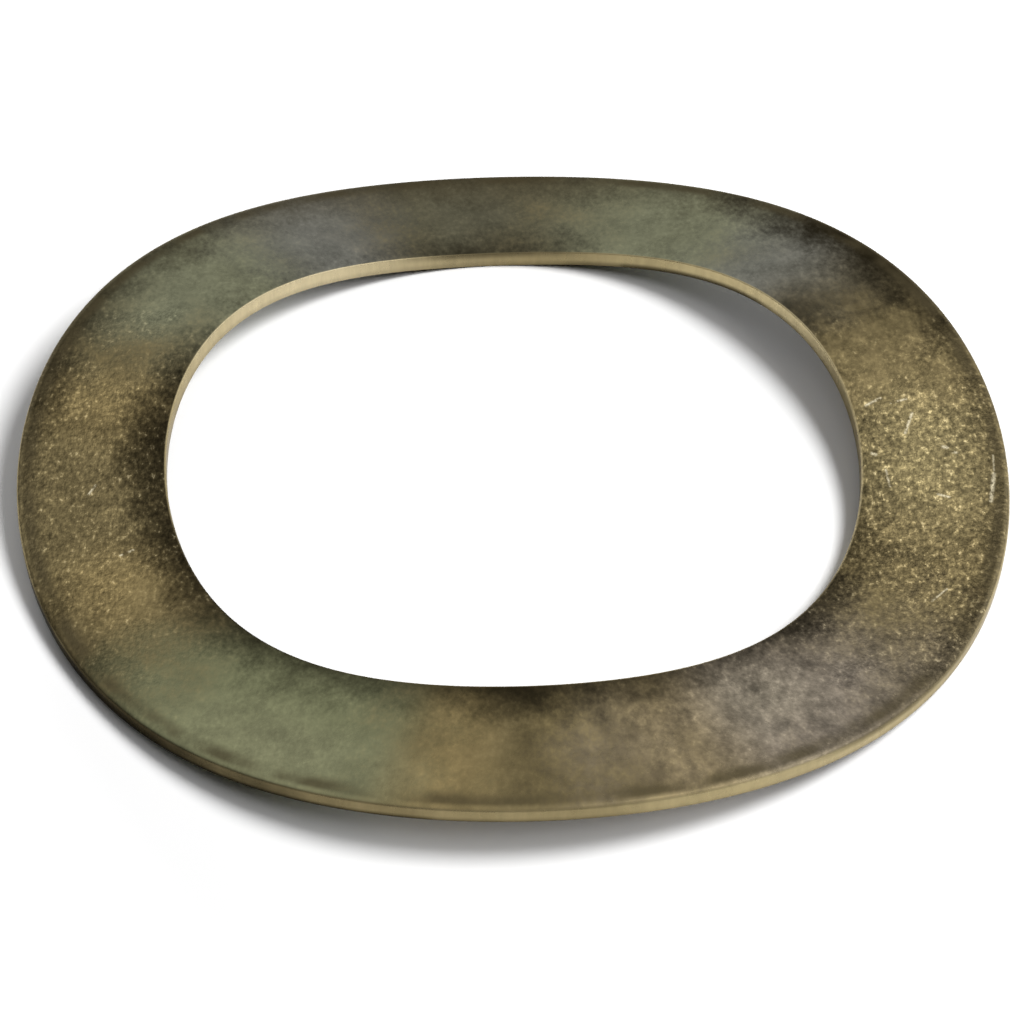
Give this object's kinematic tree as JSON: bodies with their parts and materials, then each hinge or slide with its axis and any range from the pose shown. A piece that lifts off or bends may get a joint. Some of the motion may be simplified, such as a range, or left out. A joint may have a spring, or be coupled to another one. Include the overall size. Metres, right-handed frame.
{
  "type": "wave spring washer",
  "caption": "Flat ring of tempered spring steel pressed into even waves, which springs axially between two shoulders on a shaft.",
  "frame": {"origin": "on the shaft axis, in the plane that the troughs rest on", "axes": "+Z along the shaft axis, up from the resting plane; one crest faces the front, on -Y; +X to the right"},
  "size_m": [0.037, 0.037, 0.0023],
  "materials": {
    "spring_steel": "satin, tempered to a mottled bronze brown with a fine bright grain"
  },
  "bodies": {
    "root": {"wave_washer": "spring_steel"}
  },
  "joints": []
}
